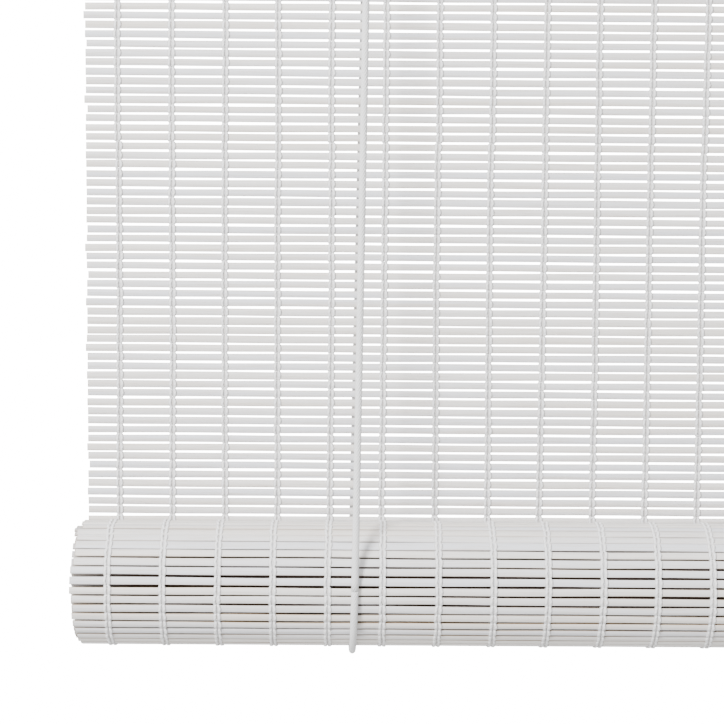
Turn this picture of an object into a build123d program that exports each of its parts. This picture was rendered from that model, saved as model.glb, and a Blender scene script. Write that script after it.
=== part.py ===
"""Bamboo roll up blind, partly rolled up and held by its cord lock.

Millimetres, +Z up, X across the blind, +Y towards the wall. The origin lies on the wall face, half way between the
two holes that the blind hangs from. The head batten hangs in front of the mat's top end. Two lift cords are
anchored behind the batten, go down behind the mat, under the roll and up in front of it, over the pulleys to the
lock at the right end, and down to the bell pull.
"""
import math
import os

from build123d import *

# ---- driving dimensions ---------------------------------------------------------------------------------------
blind_width = 600.0          # along a slat
slat_width = 4.2
slat_thick = 1.2
slat_pitch = 5.4             # from one slat to the next, along the mat
upper_count = 23             # slats above the stretch that the roll takes up
drop_count = 94              # slats in the stretch that the roll takes up
roll_turns = 6
roll_radius = 36.3           # roll centre to the middle of the outermost slats
turn_spacing = 3.4           # from one turn of the loose roll to the next

column_count = 19            # woven yarn columns
column_margin = 18.8         # from the mat's edge to the first column
yarn_width = 3.4
yarn_thick = 0.3
yarn_gap = 0.2               # between a slat's face and the yarn round it
yarn_joint = 0.4             # yarn left between the last slat and the end of a woven stretch
stretch_gap = 0.1            # half the space between two woven stretches

cord_dia = 4.0
cord_gap = 0.3               # between a cord and what it passes round
cord_spread = 282.0          # between the two lift cords, at the roll
cord_drift = 7.5             # how far the pulleys and anchors stand to the right of the cords at the roll
cord_joint = 0.2             # what a straight stretch of cord leaves free at each end
cord_stub = 5.0              # how far below a sheave's centre the cord round it ends

hanger_spacing = 480.0
hanger_hole_dia = 5.0
hanger_width = 20.0
hanger_steel = 1.5
hanger_rise = 10.0           # from the wall hole to the bracket's top edge
hanger_drop = 12.0           # from the wall hole to the batten's top

batten_depth = 28.0
batten_height = 30.0
batten_round = 1.5
strip_height = 26.0
strip_thick = 4.0
strip_inset = 2.0            # from the batten's top to the strip's
wood_gap = 0.05              # between the yarn and the wood that clamps it
wall_gap = 6.0               # from the wall to the clamp strip
top_slat_drop = 8.0          # from the batten's top to the middle of the first slat

sheave_groove = 6.5          # sheave centre to the bottom of its groove
sheave_rim = 9.3
sheave_wide = 5.6
sheave_gap = 0.4             # on each side of a sheave
housing_plate = 1.5
housing_half = 11.0
housing_ear = 18.0
housing_web = 1.5
pin_dia = 3.0
pin_fit = 0.1                # radial, where a sheave, the roller or the cam turns on its pin
pin_hole_fit = 0.02          # radial, where a pin is held in a plate
pin_head_dia = 5.2
pin_head = 0.8

screw_dia = 3.0
screw_head_dia = 5.4
screw_head = 1.1
screw_length = 11.0
screw_fit = 0.05             # radial

tail_out = 12.5              # from the mat's right edge to the cord tails
lock_left = 17.0             # from the batten's right end to the lock's left edge
lock_drop = 38.0             # height of the lock's plates
lock_cover_room = 1.0        # between the cords' top run and the lock's cover
lock_end_room = 9.5          # from the cam's pin to the lock's right edge
anvil_thick = 2.0
cam_radius = 7.0
cam_offset = 2.2             # cam centre to its pin
cam_rise = 25.0              # degrees above level, from the pin to the cam's centre
cam_below = 14.0             # from the roller's centre down to the cam's pin
tooth_deep = 0.6
tooth_wide = 0.8
tooth_step = 12.0            # degrees

staple_wire = 0.8
staple_wide = 10.0
staple_fit = 0.05
staple_bite = 7.0
staple_every = 3             # columns
anchor_drop = 20.0           # from the batten's top to the staple over a back cord
knot_radius = 2.6

tail_length = 435.0
bell_height = 34.0
bell_top_radius = 6.5
bell_radius = 10.5
bell_wall = 2.2
bell_bore_room = 1.0         # what the two cords leave free across the bell's bore
bell_shoulder = 12.0         # from the bell's top to the shoulder that sits on the knot
pull_knot_radius = 5.6

bottom_width = 16.0          # bottom batten, along the mat
bottom_thick = 7.0
bottom_round = 1.0
bottom_clear = 2.0           # degrees, from the mat's lower end to the bottom batten's edge

# ---- places worked out from them ------------------------------------------------------------------------------
half_width = blind_width / 2
cord_r = cord_dia / 2
mat_half = slat_thick / 2 + yarn_gap + yarn_thick
window_half = slat_thick / 2 + yarn_gap
batten_top = -hanger_drop
batten_bottom = batten_top - batten_height
strip_back = -wall_gap
strip_front = strip_back - strip_thick
mat_y = strip_front - wood_gap - mat_half
batten_back = mat_y - mat_half - wood_gap
batten_front = batten_back - batten_depth
first_slat = batten_top - top_slat_drop
mat_top = first_slat + slat_pitch / 2
take_up_top = mat_top - upper_count * slat_pitch
roll_z = take_up_top - drop_count * slat_pitch
roll_y = mat_y - roll_radius
loop_radius = roll_radius + mat_half + cord_gap + cord_r
half_turn_radii = [roll_radius - k * turn_spacing / 2 for k in range(2 * roll_turns)]
column_step = (blind_width - 2 * column_margin) / (column_count - 1)
columns = [column_margin - half_width + i * column_step for i in range(column_count)]

turn_radius = sheave_groove + cord_r                    # middle of a cord on a sheave or on the lock's roller
sheave_z = batten_top - batten_height / 2
rear_y = batten_front - housing_plate - sheave_gap - sheave_wide / 2
front_y = rear_y - sheave_wide - sheave_gap
top_run_z = sheave_z + turn_radius
stub_z = sheave_z - cord_stub
tail_x = half_width + tail_out
roller_x = tail_x - turn_radius
lock_back = batten_front
lock_front = front_y - sheave_wide / 2 - sheave_gap - housing_plate
cam_reach = cam_radius + cam_offset * math.cos(math.radians(cam_rise))
cam_x = tail_x + cord_r + cord_gap + cam_reach
cam_z = sheave_z - cam_below
pull_y = (rear_y + front_y) / 2
bell_bore = 2 * cord_dia + bell_bore_room
bell_top = sheave_z - tail_length

left = {"name": "left", "x": -cord_spread / 2, "top_x": cord_drift - cord_spread / 2, "y": rear_y}
right = {"name": "right", "x": cord_spread / 2, "top_x": cord_drift + cord_spread / 2, "y": front_y}


# ---- shared shapes --------------------------------------------------------------------------------------------
def block(x0, x1, y0, y1, z0, z1):
    """A box from its six faces."""
    size = (x1 - x0, y1 - y0, z1 - z0)
    return Pos((x0 + x1) / 2, (y0 + y1) / 2, (z0 + z1) / 2) * Box(*size)


def rod_y(x, z, radius, y0, y1):
    """A round rod along Y."""
    return Pos(x, (y0 + y1) / 2, z) * Rot(90, 0, 0) * Cylinder(radius, abs(y1 - y0))


def rod_z(x, y, radius, z0, z1):
    """A round rod along Z."""
    return Pos(x, y, (z0 + z1) / 2) * Cylinder(radius, abs(z1 - z0))


def tube(path):
    """A cord's solid along a path."""
    return sweep((path ^ 0) * Circle(cord_r), path=path)


def straight_cord(start, end):
    """A straight stretch of cord, a little short at both ends."""
    whole = Line(start, end)
    trim = cord_joint / whole.length
    return tube(Line(whole @ trim, whole @ (1 - trim)))


def roll_point(angle, radius):
    """A point of the roll's section. The angle is 0 at the back and runs down, under and up the front."""
    return roll_y + radius * math.cos(angle), roll_z - radius * math.sin(angle)


def write(name, *solids):
    """Writes one node."""
    shape = solids[0] if len(solids) == 1 else Compound(label=name, children=list(solids))
    export_step(shape, f"parts/{name}.step")


# ---- mat ------------------------------------------------------------------------------------------------------
def hanging_slats(first, count):
    """Slats of the flat mat, counted from its top."""
    slats = []
    for i in range(first, first + count):
        slats.append(Pos(0, mat_y, first_slat - i * slat_pitch) * Box(blind_width, slat_thick, slat_width))
    return slats


def hanging_bindings(z_top, z_bottom):
    """The woven yarn of a flat stretch of mat: each column is a flat sleeve round the slats."""
    tall = z_top - z_bottom
    middle = (z_top + z_bottom) / 2
    sleeves = []
    for x in columns:
        outer = Box(yarn_width, 2 * mat_half, tall - 2 * stretch_gap)
        window = Box(2 * yarn_width, 2 * window_half, tall - 2 * (stretch_gap + yarn_joint))
        sleeves.append(Pos(x, mat_y, middle) * (outer - window))
    return sleeves


def half_turn(k, offset, start_trim, end_trim):
    """Half circle k of the roll, counted from the outside, moved outwards by offset and cut short at its ends.

    The half circles run in turn under and over the roll. Those over it are centred half a turn's spacing further
    from the wall, so that each one ends where the next begins.
    """
    over = k % 2
    centre = roll_y - over * turn_spacing / 2
    facing = -1 if over else 1
    radius = half_turn_radii[k] + offset
    begin = start_trim / radius
    end = math.pi - end_trim / radius
    points = []
    for angle in (begin, (begin + end) / 2, end):
        points.append((0, centre + facing * radius * math.cos(angle), roll_z - facing * radius * math.sin(angle)))
    return ThreePointArc(*points)


def roll_band(half_thick, trim):
    """The roll's section as a flat face: a band of the given half thickness, cut short at both ends."""
    last = 2 * roll_turns - 1
    sides = []
    for offset in (half_thick, -half_thick):
        side = [half_turn(k, offset, trim * (k == 0), trim * (k == last)) for k in range(last + 1)]
        sides.append(side)
    outer, inner = sides
    caps = [Line(outer[0] @ 0, inner[0] @ 0), Line(outer[last] @ 1, inner[last] @ 1)]
    return Face(Wire([*outer, *inner, *caps]))


def rolled_mat():
    """The slats of the loose roll, as one band, with the holes of the staples that hold the bottom batten."""
    band = extrude(roll_band(slat_thick / 2, yarn_joint + stretch_gap), amount=blind_width, dir=(1, 0, 0))
    band = Pos(-half_width, 0, 0) * band
    return band - [place * staple_holes(staple_wide, bottom_leg) for place in bottom_places]


def rolled_bindings():
    """The woven yarn of the roll: each column is a sleeve that follows the roll's turns."""
    outer = extrude(roll_band(mat_half, stretch_gap), amount=yarn_width, dir=(1, 0, 0))
    window = extrude(roll_band(window_half, stretch_gap + yarn_joint / 2), amount=3 * yarn_width, dir=(1, 0, 0))
    sleeve = outer - Pos(-yarn_width, 0, 0) * window
    return [Pos(x - yarn_width / 2, 0, 0) * sleeve for x in columns]


# ---- staples --------------------------------------------------------------------------------------------------
def staple(wide, leg):
    """A staple with its crown's outer face at y = 0 and its legs along -Y, centred on x = 0, z = 0."""
    w = staple_wire
    crown = Pos(0, -w / 2, 0) * Box(wide, w, w)
    legs = [Pos(side * (wide - w) / 2, -leg / 2, 0) * Box(w, leg, w) for side in (-1, 1)]
    return crown + legs[0] + legs[1]


def staple_holes(wide, leg):
    """The room that a staple's legs take."""
    w = staple_wire + 2 * staple_fit
    deep = leg + staple_fit
    holes = [Pos(side * (wide - staple_wire) / 2, -deep / 2, 0) * Box(w, deep, w) for side in (-1, 1)]
    return holes[0] + holes[1]


staple_columns = columns[1:-1:staple_every]
clamp_leg = staple_wire + strip_thick + 2 * (mat_half + wood_gap) + staple_bite
clamp_staple_z = first_slat - 1.5 * slat_pitch
clamp_places = [Pos(x + column_step / 2, strip_back + staple_wire, clamp_staple_z) for x in staple_columns]
clamp_places = [p for p in clamp_places if abs(abs(p.position.X) - cord_spread / 2) > staple_wide]

anchor_wide = cord_dia + 2 * cord_gap + 2 * staple_wire
back_cord_top_y = strip_back + cord_r + cord_gap
anchor_crown_y = back_cord_top_y + cord_r + cord_gap + staple_wire
anchor_leg = anchor_crown_y - strip_back + strip_thick - staple_wire
anchor_z = batten_top - anchor_drop
anchor_places = [Pos(side["top_x"], anchor_crown_y, anchor_z) for side in (left, right)]


# ---- head -----------------------------------------------------------------------------------------------------
def screw_holes(places, turn):
    """Pilot holes for a group of screws."""
    hole = Cylinder(screw_dia / 2 + screw_fit, screw_length + screw_fit)
    holes = [place * turn * Pos(0, 0, -(screw_length + screw_fit) / 2) * hole for place in places]
    return holes


def screws(places, turn):
    """Round headed screws, each with the underside of its head at its place."""
    shank = Pos(0, 0, -screw_length / 2) * Cylinder(screw_dia / 2, screw_length)
    head = Pos(0, 0, screw_head / 2) * Cylinder(screw_head_dia / 2, screw_head)
    slot = Pos(0, 0, screw_head) * Box(screw_head_dia, 0.7, 0.8)
    one = shank + head - slot
    return [place * turn * one for place in places]


down = Rot(0, 0, 0)
back = Rot(90, 0, 0)
hanger_top = batten_top + hanger_steel
hanger_reach = batten_depth - 3 + (wall_gap + strip_thick + 2 * (mat_half + wood_gap))
hanger_screw_ys = [batten_back - batten_depth * share for share in (0.28, 0.72)]
hanger_xs = [-hanger_spacing / 2, hanger_spacing / 2]
hanger_screw_places = [Pos(x, y, hanger_top) for x in hanger_xs for y in hanger_screw_ys]
plate_y = batten_front - housing_plate
ear_x = (housing_half + housing_ear) / 2 + 0.5
sheave_xs = [side["top_x"] + turn_radius for side in (left, right)]
pulley_screw_places = [Pos(x + s * ear_x, plate_y, sheave_z) for x in sheave_xs for s in (-1, 1)]
lock_screw_x = half_width - lock_left + screw_head_dia / 2 + 1
lock_screw_places = [Pos(lock_screw_x, plate_y, sheave_z + dz) for dz in (2, -10)]


def head_batten():
    """The wooden batten in front of the mat's top end."""
    body = block(-half_width, half_width, batten_front, batten_back, batten_bottom, batten_top)
    body = fillet(body.edges().filter_by(Axis.X), batten_round)
    cuts = screw_holes(hanger_screw_places, down)
    cuts += screw_holes(pulley_screw_places + lock_screw_places, back)
    cuts += [place * staple_holes(staple_wide, clamp_leg) for place in clamp_places]
    return body - cuts


def back_clamp_strip():
    """The thin strip that clamps the mat's top end to the batten."""
    z_top = batten_top - strip_inset
    body = block(-half_width, half_width, strip_front, strip_back, z_top - strip_height, z_top)
    cuts = [place * staple_holes(staple_wide, clamp_leg) for place in clamp_places]
    cuts += [place * staple_holes(anchor_wide, anchor_leg) for place in anchor_places]
    return body - cuts


def hanger(x):
    """A folded steel bracket: one leg on the wall, one on the batten's top."""
    half = hanger_width / 2
    wall_leg = block(x - half, x + half, -hanger_steel, 0, batten_top, hanger_rise)
    top_leg = block(x - half, x + half, -hanger_reach, 0, batten_top, hanger_top)
    body = wall_leg + top_leg
    body = fillet(body.edges().filter_by(Axis.X).sort_by_distance((x, 0, batten_top))[0], hanger_steel)
    body -= rod_y(x, 0, hanger_hole_dia / 2, -hanger_steel - 1, 1)
    for y in hanger_screw_ys:
        body -= rod_z(x, y, screw_dia / 2 + screw_fit, batten_top - 1, hanger_top + 1)
    return body


# ---- pulleys --------------------------------------------------------------------------------------------------
def sheave(x, y):
    """A grooved wheel on an axis along Y."""
    body = rod_y(x, sheave_z, sheave_rim, y - sheave_wide / 2, y + sheave_wide / 2)
    body -= rod_y(x, sheave_z, pin_dia / 2 + pin_fit, y - sheave_wide, y + sheave_wide)
    groove = Pos(x, y, sheave_z) * Rot(90, 0, 0) * Torus(turn_radius, cord_r + 0.15)
    return body - groove


def pulley_housing(x, last_y):
    """A bent plate housing: a rear plate with two ears, a front plate, and a web under the sheaves."""
    plate_front = last_y - sheave_wide / 2 - sheave_gap
    low = sheave_z - housing_half - housing_web
    high = sheave_z + housing_half
    rear = block(x - housing_half, x + housing_half, plate_y, batten_front, low, high)
    ears = block(x - housing_ear, x + housing_ear, plate_y, batten_front, sheave_z - 5, sheave_z + 5)
    front = block(x - housing_half, x + housing_half, plate_front - housing_plate, plate_front, low, high)
    front = fillet(front.edges().filter_by(Axis.Y), 3)
    web_left = x - turn_radius + cord_r + 1.5
    web = block(web_left, x + housing_half - 3, plate_front, plate_y, low, low + housing_web)
    body = rear + ears + front + web
    body -= rod_y(x, sheave_z, pin_dia / 2 + pin_hole_fit, plate_front - 5, batten_front + 1)
    for side in (-1, 1):
        body -= rod_y(x + side * ear_x, sheave_z, screw_dia / 2 + screw_fit, plate_y - 1, batten_front + 1)
    return body


def headed_pin(x, z, front):
    """A pin along Y with a flat head in front of the plate whose front face is given."""
    shank = rod_y(x, z, pin_dia / 2, front, batten_front - wood_gap)
    return shank + rod_y(x, z, pin_head_dia / 2, front - pin_head, front)


# ---- cord lock ------------------------------------------------------------------------------------------------
inner_front = lock_front + housing_plate


def cord_lock_body():
    """Two plates joined by a cover, an end wall and the anvil that the cam presses the cords against."""
    x0 = half_width - lock_left
    x1 = cam_x + lock_end_room
    z1 = top_run_z + cord_r + lock_cover_room + housing_web
    z0 = z1 - lock_drop
    mouth = half_width - lock_left + screw_head_dia + 3
    rear = block(x0, x1, plate_y, batten_front, z0, z1)
    front = block(mouth, x1, lock_front, inner_front, z0, z1)
    front = fillet(front.edges().filter_by(Axis.Y), 2)
    cover = block(mouth + 2.5, x1 - 2.5, inner_front, plate_y, z1 - housing_web, z1)
    anvil_x = tail_x - cord_r - cord_gap
    anvil = block(anvil_x - anvil_thick, anvil_x, inner_front, plate_y, z0, cam_z + cam_radius - 2)
    end_wall = block(x1 - housing_web, x1, inner_front, plate_y, z0 + 2.5, z1 - 2.5)
    body = rear + front + cover + anvil + end_wall
    for x, z in ((roller_x, sheave_z), (cam_x, cam_z)):
        body -= rod_y(x, z, pin_dia / 2 + pin_hole_fit, lock_front - 1, batten_front + 1)
    for place in lock_screw_places:
        spot = place.position
        body -= rod_y(spot.X, spot.Z, screw_dia / 2 + screw_fit, plate_y - 1, batten_front + 1)
    return body


def lock_drum(x, z, radius):
    """A drum that fills the lock from plate to plate, with its bore."""
    body = rod_y(x, z, radius, inner_front + sheave_gap, plate_y - sheave_gap)
    return body


def lock_roller():
    """The wide roller that turns both cords down."""
    body = lock_drum(roller_x, sheave_z, sheave_groove - 0.15)
    return body - rod_y(roller_x, sheave_z, pin_dia / 2 + pin_fit, lock_front, batten_front)


def lock_cam():
    """The toothed cam. Its weight holds it down against the cords."""
    rise = math.radians(cam_rise)
    x = cam_x - cam_offset * math.cos(rise)
    z = cam_z + cam_offset * math.sin(rise)
    body = lock_drum(x, z, cam_radius)
    body -= rod_y(cam_x, cam_z, pin_dia / 2 + pin_fit, lock_front, batten_front)
    notch = Pos(-cam_radius, 0, 0) * Box(2 * tooth_deep, 40, tooth_wide)
    notch_y = (lock_front + batten_front) / 2
    for i in range(-4, 6):
        body -= Pos(x, notch_y, z) * Rot(0, (i + 0.5) * tooth_step, 0) * notch
    return body


# ---- cords ----------------------------------------------------------------------------------------------------
back_cord_top = (anchor_z + batten_top) / 2


def front_angle(side):
    """How far above level the front run leaves the roll, in radians."""
    reach_y = side["y"] - roll_y
    reach_z = stub_z - roll_z
    return math.asin(loop_radius / math.hypot(reach_y, reach_z)) + math.atan2(reach_y, reach_z)


def loop_cord(side):
    """The part of a lift cord that lies round the roll."""
    above = math.degrees(front_angle(side))
    start = back_angle()
    plane = Plane(origin=(side["x"], roll_y, roll_z), x_dir=(0, 1, 0), z_dir=(-1, 0, 0))
    arc = plane * CenterArc((0, 0), loop_radius, start, 180 + above - start)
    return tube(arc)


def back_angle():
    """How far below level the leaning back run meets the roll, in degrees."""
    reach = back_cord_top_y - (roll_y + loop_radius)
    return math.degrees(math.atan2(reach, back_cord_top - roll_z))


def roll_touch(side_x, degrees):
    """A point on a loop's centreline. 0 is at the back, 180 at the front."""
    y, z = roll_point(math.radians(degrees), loop_radius)
    return side_x, y, z


def back_cord(side):
    """From the anchor behind the batten down to the roll's back."""
    return straight_cord((side["top_x"], back_cord_top_y, back_cord_top), roll_touch(side["x"], back_angle()))


def front_cord(side):
    """From the roll's front up to the pulley."""
    low = roll_touch(side["x"], 180 + math.degrees(front_angle(side)))
    return straight_cord(low, (side["top_x"], side["y"], stub_z))


def top_cord(side):
    """Over the pulley, along the batten, and over the lock's roller."""
    x0 = side["top_x"]
    points = [(x0, stub_z), (x0, top_run_z), (tail_x, top_run_z), (tail_x, stub_z)]
    path = FilletPolyline(*[(x, side["y"], z) for x, z in points], radius=turn_radius)
    return tube(path)


def tail_cord(side):
    """From the lock down into the bell pull, where the two tails lie side by side."""
    sign = 1 if side is left else -1
    low = (tail_x, pull_y + sign * (cord_r + cord_joint), bell_top - bell_shoulder)
    return straight_cord((tail_x, side["y"], stub_z), low)


def anchor_knot(side):
    """The knot above the staple that holds a back cord."""
    return Pos(side["top_x"], strip_back + knot_radius + 0.1, back_cord_top + knot_radius) * Sphere(knot_radius)


# ---- pull -----------------------------------------------------------------------------------------------------
pull_knot_z = bell_top - bell_shoulder - cord_joint - pull_knot_radius


def pull_bell():
    """A turned wooden bell with a bore for the tails and a hollow for their knot."""
    low = bell_top - bell_height
    outer = Plane.XZ * make_face(
        Polyline((0, 0), (bell_top_radius, 0), (bell_radius, -bell_height + 5), (bell_radius, -bell_height),
                 (0, -bell_height), close=True)
    )
    body = revolve(outer, Axis.Z)
    hollow = bell_radius - bell_wall
    inner = Plane.XZ * make_face(
        Polyline((0, -bell_shoulder), (bell_bore / 2 + 1.6, -bell_shoulder), (hollow, -bell_height + 4),
                 (hollow, -bell_height - 1), (0, -bell_height - 1), close=True)
    )
    body -= revolve(inner, Axis.Z)
    body = Pos(tail_x, pull_y, bell_top) * body
    return body - rod_z(tail_x, pull_y, bell_bore / 2, low, bell_top + 1)


# ---- bottom batten --------------------------------------------------------------------------------------------
last_radius = half_turn_radii[-1]
hollow_radius = last_radius - mat_half - wood_gap
bottom_face = math.sqrt(hollow_radius**2 - (bottom_width / 2) ** 2)
bottom_above = math.degrees(math.asin(bottom_width / 2 / hollow_radius)) + bottom_clear
staple_out = last_radius + mat_half + wood_gap + staple_wire
bottom_leg = staple_out - bottom_face + bottom_thick * 0.6
roll_frame = Pos(0, roll_y - turn_spacing / 2, roll_z) * Rot(bottom_above, 0, 0)
bottom_places = [roll_frame * Pos(x + column_step / 2, staple_out, 0) for x in staple_columns]


def bottom_batten():
    """The bar in the middle of the roll that the mat's lower end is stapled to."""
    body = Box(blind_width, bottom_thick, bottom_width)
    body = fillet(body.edges().filter_by(Axis.X), bottom_round)
    body = roll_frame * Pos(0, bottom_face - bottom_thick / 2, 0) * body
    return body - [place * staple_holes(staple_wide, bottom_leg) for place in bottom_places]


# ---- all nodes ------------------------------------------------------------------------------------------------
def main():
    os.makedirs("parts", exist_ok=True)
    write("head_batten", head_batten())
    write("back_clamp_strip", back_clamp_strip())
    write("clamp_staples", *[place * staple(staple_wide, clamp_leg) for place in clamp_places])
    write("left_hanger", hanger(hanger_xs[0]))
    write("right_hanger", hanger(hanger_xs[1]))
    write("hanger_screws", *screws(hanger_screw_places, down))
    write("pulley_screws", *screws(pulley_screw_places, back))
    write("lock_screws", *screws(lock_screw_places, back))

    left_x, right_x = sheave_xs
    single_front = rear_y - sheave_wide / 2 - sheave_gap - housing_plate
    write("left_pulley_housing", pulley_housing(left_x, rear_y))
    write("right_pulley_housing", pulley_housing(right_x, front_y))
    write("left_sheave", sheave(left_x, rear_y))
    write("right_rear_sheave", sheave(right_x, rear_y))
    write("right_front_sheave", sheave(right_x, front_y))
    write("left_sheave_pin", headed_pin(left_x, sheave_z, single_front))
    write("right_sheave_pin", headed_pin(right_x, sheave_z, lock_front))

    write("cord_lock_body", cord_lock_body())
    write("lock_roller", lock_roller())
    write("lock_roller_pin", headed_pin(roller_x, sheave_z, lock_front))
    write("lock_cam", lock_cam())
    write("lock_cam_pin", headed_pin(cam_x, cam_z, lock_front))

    write("upper_slats", *hanging_slats(0, upper_count))
    write("upper_bindings", *hanging_bindings(mat_top, take_up_top))
    write("drop_slats", *hanging_slats(upper_count, drop_count))
    write("drop_bindings", *hanging_bindings(take_up_top, roll_z))
    write("rolled_mat", rolled_mat())
    write("rolled_bindings", *rolled_bindings())
    write("bottom_batten", bottom_batten())
    write("bottom_staples", *[place * staple(staple_wide, bottom_leg) for place in bottom_places])

    write("cord_anchor_staples", *[place * staple(anchor_wide, anchor_leg) for place in anchor_places])
    for side in (left, right):
        name = side["name"]
        write(f"{name}_anchor_knot", anchor_knot(side))
        write(f"{name}_back_cord", back_cord(side))
        write(f"{name}_loop_cord", loop_cord(side))
        write(f"{name}_front_cord", front_cord(side))
        write(f"{name}_top_cord", top_cord(side))
        write(f"{name}_tail_cord", tail_cord(side))
    write("pull_bell", pull_bell())
    write("pull_knot", Pos(tail_x, pull_y, pull_knot_z) * Sphere(pull_knot_radius))

    print("radii of the cords:", round(turn_radius, 2), "on sheaves and roller,", round(loop_radius, 2), "at the roll")
    print("roll centre:", round(roll_y, 3), round(roll_z, 3), " take-up top:", round(take_up_top, 3))
    print("length of mat in the roll:", round(math.pi * sum(half_turn_radii), 1))
    print("sheave x:", [round(x, 3) for x in sheave_xs], " y:", round(rear_y, 3), round(front_y, 3))
    print("roller:", round(roller_x, 3), " cam:", round(cam_x, 3), round(cam_z, 3), " bell top:", round(bell_top, 3))


main()
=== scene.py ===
"""Bamboo roll up blind: the finish of every piece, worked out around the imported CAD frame, in metres.

The mat is one long strip. A place on it is s, the distance along it from where it meets the roll: s is
negative in the hanging part and positive in the roll. The roll is a chain of half circles that run in turn
under and over it, each half a turn's spacing smaller than the one before. A slat is a flat bar carried
along X; a yarn strand weaves from the front of one slat to the back of the next; a cord is a round tube
along its route.
"""
# %% [markdown]
# # A woven bamboo blind
# The blind is a mat of painted bamboo slats held by columns of yarn, rolled up in two lift cords.

import bpy
import numpy as np
from mathutils import Matrix, Vector


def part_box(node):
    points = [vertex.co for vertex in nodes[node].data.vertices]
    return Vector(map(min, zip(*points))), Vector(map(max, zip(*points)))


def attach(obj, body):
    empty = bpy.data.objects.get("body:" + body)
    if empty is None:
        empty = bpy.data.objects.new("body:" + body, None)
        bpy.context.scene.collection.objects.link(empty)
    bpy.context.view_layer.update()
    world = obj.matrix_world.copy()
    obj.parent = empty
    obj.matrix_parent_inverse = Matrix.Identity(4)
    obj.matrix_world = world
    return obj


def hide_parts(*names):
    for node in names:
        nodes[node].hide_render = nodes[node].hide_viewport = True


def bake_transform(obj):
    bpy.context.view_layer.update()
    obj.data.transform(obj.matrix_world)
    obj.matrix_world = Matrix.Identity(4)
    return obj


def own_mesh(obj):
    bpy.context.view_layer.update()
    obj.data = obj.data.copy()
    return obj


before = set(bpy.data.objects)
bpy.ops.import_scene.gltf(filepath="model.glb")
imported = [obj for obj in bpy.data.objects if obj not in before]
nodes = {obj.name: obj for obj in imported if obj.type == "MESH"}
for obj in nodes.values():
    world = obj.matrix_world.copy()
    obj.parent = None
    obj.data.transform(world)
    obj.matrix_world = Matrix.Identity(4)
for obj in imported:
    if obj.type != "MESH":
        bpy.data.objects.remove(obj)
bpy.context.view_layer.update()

# %% [markdown]
# ## Sizes
# The few sizes that the slats, the yarn and the cords share are named here once. Places come from the
# frame's own boxes, so the pieces follow the CAD model without any fitting. A yarn strip's CAD solid is
# binding_half_width to each side of its column's middle, and stops stretch_gap short of where the next
# stretch of mat begins.

# %% Sizes and places
mm = 0.001
slat_width = 4.2 * mm
slat_thick = 1.2 * mm
slat_pitch = 5.4 * mm
turn_spacing = 3.4 * mm
roll_turns = 6
cord_dia = 4.0 * mm
roll_radius = 36.3 * mm
mat_half_thick = 1.1 * mm
cord_gap = 0.3 * mm
stretch_gap = 0.1 * mm
binding_half_width = 1.7 * mm
column_count = 19

left_end, right_end = (float(corner[0]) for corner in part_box("upper_slats"))
mat_y = float(np.mean([corner[1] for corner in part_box("drop_slats")]))
roll_y = mat_y - roll_radius
take_up_top = float(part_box("drop_bindings")[1][2]) + stretch_gap
roll_z = float(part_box("drop_bindings")[0][2]) - stretch_gap
mat_top = float(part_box("upper_bindings")[1][2]) + stretch_gap
yarn_left = float(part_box("upper_bindings")[0][0]) + binding_half_width
columns = np.linspace(yarn_left, -yarn_left, column_count)
column_step = float(columns[1] - columns[0])
print("roll centre:", round(roll_y, 4), round(roll_z, 4), " column step:", round(column_step, 4))

# %% [markdown]
# ## From arrays to a mesh
# A long thin piece is a stack of rings of points. Blender could sweep a curve, but whole arrays let every
# slat differ a little from the next at no cost, so rings are computed at once and handed to the mesh in one
# call.

# %% Mesh helpers
def ring_faces(tubes, rings, sides):
    """Corner numbers and UVs for stacks of rings. Point (t, i, j) has number (t * rings + i) * sides + j.

    Returns the quads between rings, the two end caps of each tube, and the UVs of all their corners in that
    order.
    """
    number = np.arange(tubes * rings * sides).reshape(tubes, rings, sides)
    beside = np.roll(number, -1, axis=2)
    quads = np.stack([number[:, :-1], beside[:, :-1], beside[:, 1:], number[:, 1:]], axis=-1).reshape(-1, 4)
    caps = np.concatenate([number[:, 0, ::-1], number[:, -1]])
    i, j = np.meshgrid(np.arange(rings - 1), np.arange(sides), indexing="ij")
    around = np.stack([j, j + 1, j + 1, j], axis=-1) / sides
    along = np.stack([i, i, i + 1, i + 1], axis=-1) / (rings - 1)
    tube_uv = np.stack([around, along], axis=-1)
    quad_uv = np.broadcast_to(tube_uv, (tubes, rings - 1, sides, 4, 2)).reshape(-1, 2)
    cap_uv = np.zeros((caps.size, 2))
    cap_uv[caps.size // 2 :, 1] = 1
    return quads, caps, np.concatenate([quad_uv, cap_uv])


def signed_volume(points, faces):
    """A sixth of the sum, over the triangles of each face's fan, of the triple product of their corners."""
    total = 0.0
    for k in range(1, faces.shape[1] - 1):
        a, b, c = (points[faces[:, i]] for i in (0, k, k + 1))
        total += float(np.einsum("ij,ij->", a, np.cross(b, c))) / 6
    return total


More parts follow.
